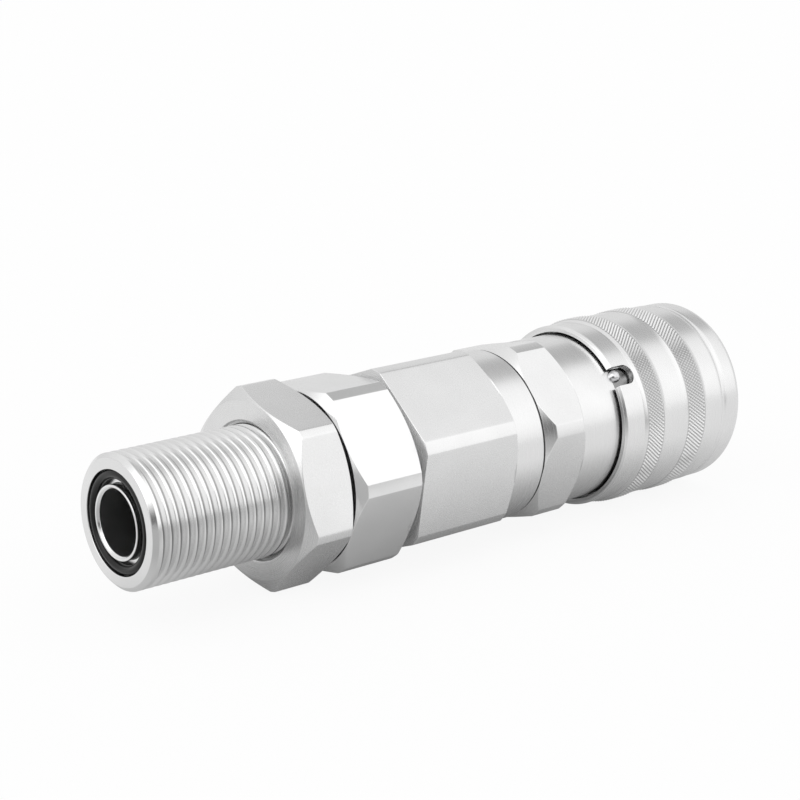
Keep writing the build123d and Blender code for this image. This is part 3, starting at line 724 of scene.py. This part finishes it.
class COUPLER_OT_sleeve(bpy.types.Operator):
    """Builds the locking sleeve: rim with its notch, bands, two knurls, groove and rounded nose"""

    bl_idname = "coupler.sleeve"
    bl_label = "Sleeve"

    def execute(self, context):
        sizes = context.scene.coupler_sleeve
        rim, rim_theta = self.rim(sizes)
        bands, band_theta, band_faces = self.bands(sizes)
        rim_points = place(rim[..., 0], rim[..., 1], rim_theta).reshape(-1, 3)
        band_points = place(bands[..., 0], bands[..., 1], band_theta[None, :]).reshape(-1, 3)
        rim_count, columns = rim.shape[0] * rim.shape[1], rim.shape[1]
        joint_angles = rim_theta[-1]
        faces = [
            grid_faces(rim.shape[0], columns, closed=False),
            band_faces + rim_count,
            stitched(joint_angles, band_theta, rim_count - columns, rim_count),
            stitched(rim_theta[0], band_theta, 0, rim_count + len(band_points) - len(band_theta)),
        ]
        add_piece(
            "sleeve_knurled", [(np.concatenate([rim_points, band_points]), faces)],
            finishes()["plated_steel_knurled"], "sleeve", ["sleeve"], crease=32,
        )
        return {"FINISHED"}

    def rim(self, sizes):
        """The rear rim, from the pocket inside, over the rim to the first band. In the notch, stations are
        moved forward to its outline, x = length - w / 2 + sqrt((w / 2)^2 - y^2), and a column keeps its y at
        every radius, so that the side walls are parallel."""
        rear, settled, half = 0.1107, 0.1162, sizes.notch_width / 2
        clock, reference = sizes.notch_clock, 0.0193
        inside = half * np.sin(np.linspace(-pi / 2, pi / 2, 25))
        gap = np.arcsin(half / reference)
        outside = np.linspace(gap, 2 * pi - gap, 190)
        across = np.concatenate([inside, np.sin(outside) * reference])
        in_notch = np.concatenate([np.ones(len(inside), bool), np.zeros(len(outside), bool)])
        outline = sizes.notch_length - half + np.sqrt(np.clip(half**2 - across**2, 0, None))
        edge = np.where(in_notch, outline, 0)
        profile = [
            (0.1176, 0.0176), (0.1165, 0.0176), (0.1165, 0.0180), (rear, 0.0180),
            (rear, 0.0188), (0.1112, 0.0193), (settled, 0.0193),
        ]
        rows = turned_rows(profile, len(across), TURNED_EDGE)[OPEN_ENDS]
        squeeze = (settled - rear - edge) / (settled - rear)
        moved = rear + edge[None, :] + (rows[..., 0] - rear) * squeeze[None, :]
        rows[..., 0] = np.where(rows[..., 0] < settled, moved, rows[..., 0])
        straight = np.arcsin(np.clip(across[None, :] / rows[..., 1], -1, 1))
        plain = np.concatenate([np.arcsin(inside / reference), outside])[None, :]
        beside = np.isclose(np.abs(across), half) & (np.cos(plain[0]) > 0)
        blend = (in_notch | beside)[None, :] & (rows[..., 0] < settled)
        theta = np.where(blend, straight, np.broadcast_to(plain, rows.shape[:2]))
        turned_in = np.arange(len(across)) + np.argmin((plain[0] + clock) % (2 * pi))
        order = turned_in % len(across)
        return rows[:, order], (theta[:, order] + clock) % (2 * pi)

    def bands(self, sizes):
        """The sleeve in front of the rim. Each knurl is a grid with two columns and two rows to a diamond:
        points where row + column is even lie in the grooves, the others are the diamonds' tips, and each quad
        is split along its groove."""
        top, bottom = sizes.knurl_radius, sizes.knurl_radius - sizes.knurl_depth
        columns = 2 * sizes.diamonds
        theta = np.arange(columns) * 2 * pi / columns
        parity = np.arange(columns) % 2
        before = [(0.1162, 0.0193), (0.11625, 0.01934), (0.1168, bottom - 0.00005)]
        between = [
            (0.12185, bottom), (0.1219, 0.01968), (0.12195, 0.01965), (0.1226, 0.01965),
            (0.1277, 0.01965), (0.1286, 0.01965), (0.12865, 0.01966), (0.1290, bottom - 0.00004),
        ]
        after = [
            (0.13455, bottom), (0.1346, 0.01958), (0.13465, 0.01955), (0.1353, 0.01955), (0.1394, 0.01955),
            (0.13995, 0.01955), (0.1400, 0.01953), (0.14025, 0.01930), (0.1404, 0.01927), (0.1409, 0.01927),
            (0.14105, 0.01930), (0.1413, 0.01943), (0.14135, 0.01945), (0.1420, 0.01945),
        ]
        nose_radius, turn = 0.0019, np.linspace(0, pi / 2, 13)
        nose = [(0.1446 + nose_radius * sin(a), 0.01755 + nose_radius * cos(a)) for a in turn]
        inner = [
            (0.1465, 0.0175), (0.1465, 0.01712), (0.14647, 0.01706), (0.14603, 0.01658), (0.14596, 0.01655),
            (0.1455, 0.01655), (0.13684, 0.01655), (0.13678, 0.01653), (0.13597, 0.01572), (0.13592, 0.0157),
            (0.1355, 0.0157), (0.1314, 0.0157), (0.13107, 0.0157), (0.13097, 0.01574), (0.13095, 0.01582),
            (0.13095, 0.0162), (0.13095, 0.0175), (0.1309, 0.01758), (0.1308, 0.0176), (0.1250, 0.0176),
            (0.1180, 0.0176),
        ]

        def knurl(start, stop):
            """Rows of one knurl between two stations."""
            count = 2 * round((stop - start) / sizes.diamond_length)
            x = np.linspace(start, stop, count + 1)
            tip = (np.arange(count + 1)[:, None] + parity[None, :]) % 2
            tip[[0, -1]] = 0
            return np.stack([np.broadcast_to(x[:, None], tip.shape), np.where(tip, top, bottom)], -1)

        sections = [
            per_column(before, columns), knurl(*KNURLS[0]),
            per_column(between, columns), knurl(*KNURLS[1]),
            per_column(after + nose + inner, columns),
        ]
        rows = np.concatenate(sections)
        quads = grid_faces(len(rows), columns, closed=False)
        row, column = quads[:, 0] // columns, quads[:, 0] % columns
        starts = np.cumsum([0] + [len(s) for s in sections])
        faces = []
        for index in (1, 3):
            inside = (row >= starts[index]) & (row < starts[index + 1] - 1)
            even = (row - starts[index] + column) % 2 == 0
            first, second = quads[inside & even], quads[inside & ~even]
            faces += [first[:, [0, 1, 2]], first[:, [0, 2, 3]], second[:, [0, 1, 3]], second[:, [1, 2, 3]]]
            quads, row, column = quads[~inside], row[~inside], column[~inside]
        split = np.concatenate([quads[:, [0, 1, 2]], quads[:, [0, 2, 3]]])
        return rows, theta, np.concatenate(faces + [split])


class COUPLER_OT_valve(bpy.types.Operator):
    """Builds the ball ring, the valve sleeve and the flat stem that show in the socket"""

    bl_idname = "coupler.valve"
    bl_label = "Valve"

    def execute(self, context):
        ground = finishes()["valve_steel_ground"]
        ball_ring = [
            (0.1266, 0.0104), (FLAT_FACE, 0.0104), (FLAT_FACE, 0.01195), (0.1447, 0.01225), (0.1291, 0.01225),
            (0.1291, 0.0129), (0.1266, 0.0129),
        ]
        add_piece("ball_ring_turned", [turned(ball_ring)], ground, "ball_ring", ["ball_ring"])
        valve_sleeve = [
            (0.1001, 0.0086), (0.1370, 0.0086), (0.1395, 0.0076), (FLAT_FACE, 0.0076), (FLAT_FACE, 0.01025),
            (0.1069, 0.01025), (0.1069, 0.0120), (0.1036, 0.0120), (0.1036, 0.01025), (0.1001, 0.01025),
        ]
        add_piece(
            "valve_sleeve_turned", [turned(valve_sleeve)], ground, "valve_sleeve", ["valve_sleeve"],
        )
        stem = [
            (0.0679, 0.0030), (0.0769, 0.0030), (0.0769, 0.0046), (0.0794, 0.0046), (0.0794, 0.0040),
            (0.1365, 0.0040), (0.1410, 0.0075), (0.1420, 0.0075), (0.1420, 0.0059), (0.1440, 0.0059),
            (0.1440, 0.0075), (FLAT_FACE, 0.0075), (FLAT_FACE, 0.0), (0.0679, 0.0),
        ]
        eases = [CRISP_EDGE] * (len(stem) - 2) + [0, 0]
        theta = ring_angles(128)
        rows = soften(per_column(stem, len(theta)), eases)
        add_piece("stem_turned", [swept(rows, theta)], ground, "coupler_body", ["stem"])
        return {"FINISHED"}


class COUPLER_OT_springs(bpy.types.Operator):
    """Builds the three coil springs"""

    bl_idname = "coupler.springs"
    bl_label = "Springs"

    def execute(self, context):
        wire = finishes()["spring_wire_drawn"]
        # Piece, body, CAD node, joint, (start, end, mean radius, wire, turns), fixed seat and travel
        springs = [
            ("sleeve_spring_coil", "sleeve_spring", "sleeve_spring", "sleeve_slide",
             (0.1190, 0.13095, 0.016625, 0.0014, 4), 0.13095, 0.0021),
            ("ball_ring_spring_coil", "coupler_body", "ball_ring_spring", "ball_ring_slide",
             (0.1120, 0.1266, 0.011625, 0.0013, 4), 0.1120, 0.0095),
            ("valve_spring_coil", "coupler_body", "valve_spring", "valve_slide",
             (0.0769, 0.1036, 0.0118, 0.0013, 8), 0.0769, 0.0095),
        ]
        for name, body, cad_node, joint, shape, seat, travel in springs:
            piece = add_piece(name, [coiled(*shape)], wire, body, [cad_node])
            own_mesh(piece)
        return {"FINISHED"}


class COUPLER_OT_finishes(bpy.types.Operator):
    """Gives every CAD node its finish, which shows on the inner ones"""

    bl_idname = "coupler.finishes"
    bl_label = "Inner finishes"

    def execute(self, context):
        by_slot = {
            "plated_steel": "plated_steel_turned",
            "valve_steel": "valve_steel_ground",
            "hard_steel": "ball_steel_polished",
            "spring_steel": "spring_wire_drawn",
            "seal_rubber": "seal_rubber_black",
            "backup_plastic": "backup_ring_white",
        }
        made = finishes()
        for part in frame["record"]["subparts"]:
            mesh = frame["nodes"][part["node"]].data
            mesh.materials.clear()
            mesh.materials.append(made[by_slot[part["material_slot"]]])
        return {"FINISHED"}


class COUPLER_OT_stage(bpy.types.Operator):
    """Adds the pale floor, the soft studio light and the camera"""

    bl_idname = "coupler.stage"
    bl_label = "Stage"

    def execute(self, context):
        studio = context.scene.coupler_studio
        self.floor(studio)
        self.world(studio)
        camera = bpy.data.cameras.new("view")
        camera.lens, camera.sensor_fit, camera.sensor_width = studio.focal_length, "HORIZONTAL", 36.0
        camera.clip_end = 20.0
        camera_object = bpy.data.objects.new("view", camera)
        turn = Matrix(CAMERA_AXES).transposed().to_4x4()
        camera_object.matrix_world = Matrix.Translation(CAMERA_PLACE) @ turn
        context.scene.collection.objects.link(camera_object)
        context.scene.camera = camera_object
        context.scene.view_settings.view_transform = "Standard"
        return {"FINISHED"}

    def floor(self, studio):
        """A wide pale floor. The camera sees it nearly white, with a trace of the shadow. Other rays see a
        darker paint, a painted shade in what the metal reflects. The metal also sees a painted reflection
        glow that rises over x + y, from a painted dark corner in front of the thread to the rest, and falls
        to a fifth under the coupler as painted shade, by a smooth step of the length of ((x - middle) / half
        length, y / half width)."""
        half, level = 4.0, -0.0201
        middle, half_length, half_width = 0.0731, 0.085, 0.035
        # The paint that other rays see is darker than the camera's: painted shade in the metal's reflections
        # of the floor
        shaded_paint_for_other_rays, paint_for_camera = 0.30, 0.85
        mesh = bpy.data.meshes.new("floor")
        corners = [(-half, -half, level), (half, -half, level), (half, half, level), (-half, half, level)]
        mesh.from_pydata(corners, [], [(0, 1, 2, 3)])
        floor = bpy.data.objects.new("floor", mesh)
        bpy.context.scene.collection.objects.link(floor)
        material, tree, shader = new_finish("floor_paint", Roughness=0.9, Specular_IOR_Level=0.0)
        rays = node(tree, "ShaderNodeLightPath").outputs
        paint = mapped(tree, rays["Is Camera Ray"], 0.0, 1.0, shaded_paint_for_other_rays, paint_for_camera)
        tree.links.new(paint, shader.inputs["Base Color"])
        where = node(tree, "ShaderNodeTexCoord").outputs["Object"]
        spread = node(tree, "ShaderNodeMapping", {
            "Vector": where, "Location": (-middle / half_length, 0, 0),
            "Scale": (1 / half_length, 1 / half_width, 0),
        }).outputs[0]
        distance = node(tree, "ShaderNodeVectorMath", {0: spread}, operation="LENGTH").outputs["Value"]
        # Painted shade under the coupler in the floor glow that the metal reflects
        outside_painted_shadow = mapped(tree, distance, 0.3, 1.5, 0.2, 1.0, smooth=True)
        along = dot(tree, where, (1.0, 1.0, 0.0))
        front, back = studio.mirrored_front, studio.mirrored_back
        # Painted reflection level: darker on the floor in front of the thread, brighter behind
        painted_reflection_level = mapped(tree, along, -0.05, 0.01, front, back, smooth=True)
        seen = maths(tree, "MULTIPLY", maths(tree, "MULTIPLY", outside_painted_shadow, painted_reflection_level), rays["Is Glossy Ray"])
        mirrored = node(tree, "ShaderNodeEmission", {"Strength": seen})
        lit = node(tree, "ShaderNodeAddShader", {0: shader.outputs[0], 1: mirrored.outputs[0]})
        white = node(tree, "ShaderNodeEmission", {"Strength": 1.0})
        direct = maths(tree, "ADD", rays["Is Camera Ray"], rays["Is Transmission Ray"])
        share = maths(tree, "MULTIPLY", direct, studio.floor_glow)
        mixed = node(tree, "ShaderNodeMixShader", {0: share, 1: lit.outputs[0], 2: white.outputs[0]})
        tree.links.new(mixed.outputs[0], tree.nodes["Material Output"].inputs["Surface"])
        mesh.materials.append(material)

    def world(self, studio):
        """A soft dome: a plain level that changes with height, and wide softboxes, each a smooth step of the
        cosine of the angle from its middle. The camera itself sees plain white."""
        world = bpy.data.worlds.new("studio")
        bpy.context.scene.world = world
        world.use_nodes = True
        tree = world.node_tree
        background = tree.nodes["Background"]
        background.inputs["Color"].default_value = (1, 1, 1, 1)
        direction = node(tree, "ShaderNodeTexCoord").outputs["Generated"]
        height = node(tree, "ShaderNodeSeparateXYZ", {0: direction}).outputs[2]
        level = mapped(tree, height, 0.0, 0.9, studio.horizon, studio.zenith, smooth=True)
        for middle, edge, full, brightness in SOFTBOXES:
            near = dot(tree, direction, Vector(middle).normalized())
            lobe = mapped(tree, near, edge, full, 0.0, brightness, smooth=True)
            level = maths(tree, "ADD", level, lobe)
        camera_ray = node(tree, "ShaderNodeLightPath").outputs["Is Camera Ray"]
        shown = mapped(tree, camera_ray, 0.0, 1.0, level, 1.0)
        tree.links.new(shown, background.inputs["Strength"])


class COUPLER_PT_panel(bpy.types.Panel):
    """Lists the pieces and their settings"""

    bl_idname = "COUPLER_PT_panel"
    bl_label = "Flat face coupler"
    bl_space_type = "VIEW_3D"
    bl_region_type = "UI"
    bl_category = "Coupler"

    def draw(self, context):
        for group in SETTINGS:
            box = self.layout.box()
            settings = getattr(context.scene, group)
            for name in settings.__annotations__:
                box.prop(settings, name)
        for operator in OPERATORS:
            self.layout.operator(operator.bl_idname)


SETTINGS = {
    "coupler_male_end": MaleEndSettings,
    "coupler_body": BodySettings,
    "coupler_sleeve": SleeveSettings,
    "coupler_finish": FinishSettings,
    "coupler_studio": StudioSettings,
}
OPERATORS = (
    COUPLER_OT_finishes, COUPLER_OT_male_end, COUPLER_OT_face_seal, COUPLER_OT_lock_nut, COUPLER_OT_rear_body,
    COUPLER_OT_front_body, COUPLER_OT_stop_ball, COUPLER_OT_sleeve, COUPLER_OT_valve, COUPLER_OT_springs,
    COUPLER_OT_stage,
)
CLASSES = tuple(SETTINGS.values()) + OPERATORS + (COUPLER_PT_panel,)


def register():
    """Registers the classes and the scene's settings."""
    for cls in CLASSES:
        bpy.utils.register_class(cls)
    for name, group in SETTINGS.items():
        setattr(bpy.types.Scene, name, PointerProperty(type=group))


def unregister():
    """Takes the settings and classes away again."""
    for name in SETTINGS:
        delattr(bpy.types.Scene, name)
    for cls in reversed(CLASSES):
        bpy.utils.unregister_class(cls)


def main():
    """Builds every piece in order."""
    register()
    bpy.ops.coupler.finishes()
    bpy.ops.coupler.male_end()
    bpy.ops.coupler.face_seal()
    bpy.ops.coupler.lock_nut()
    bpy.ops.coupler.rear_body()
    bpy.ops.coupler.front_body()
    bpy.ops.coupler.stop_ball()
    bpy.ops.coupler.sleeve()
    bpy.ops.coupler.valve()
    bpy.ops.coupler.springs()
    bpy.ops.coupler.stage()


if __name__ == "__main__":
    main()
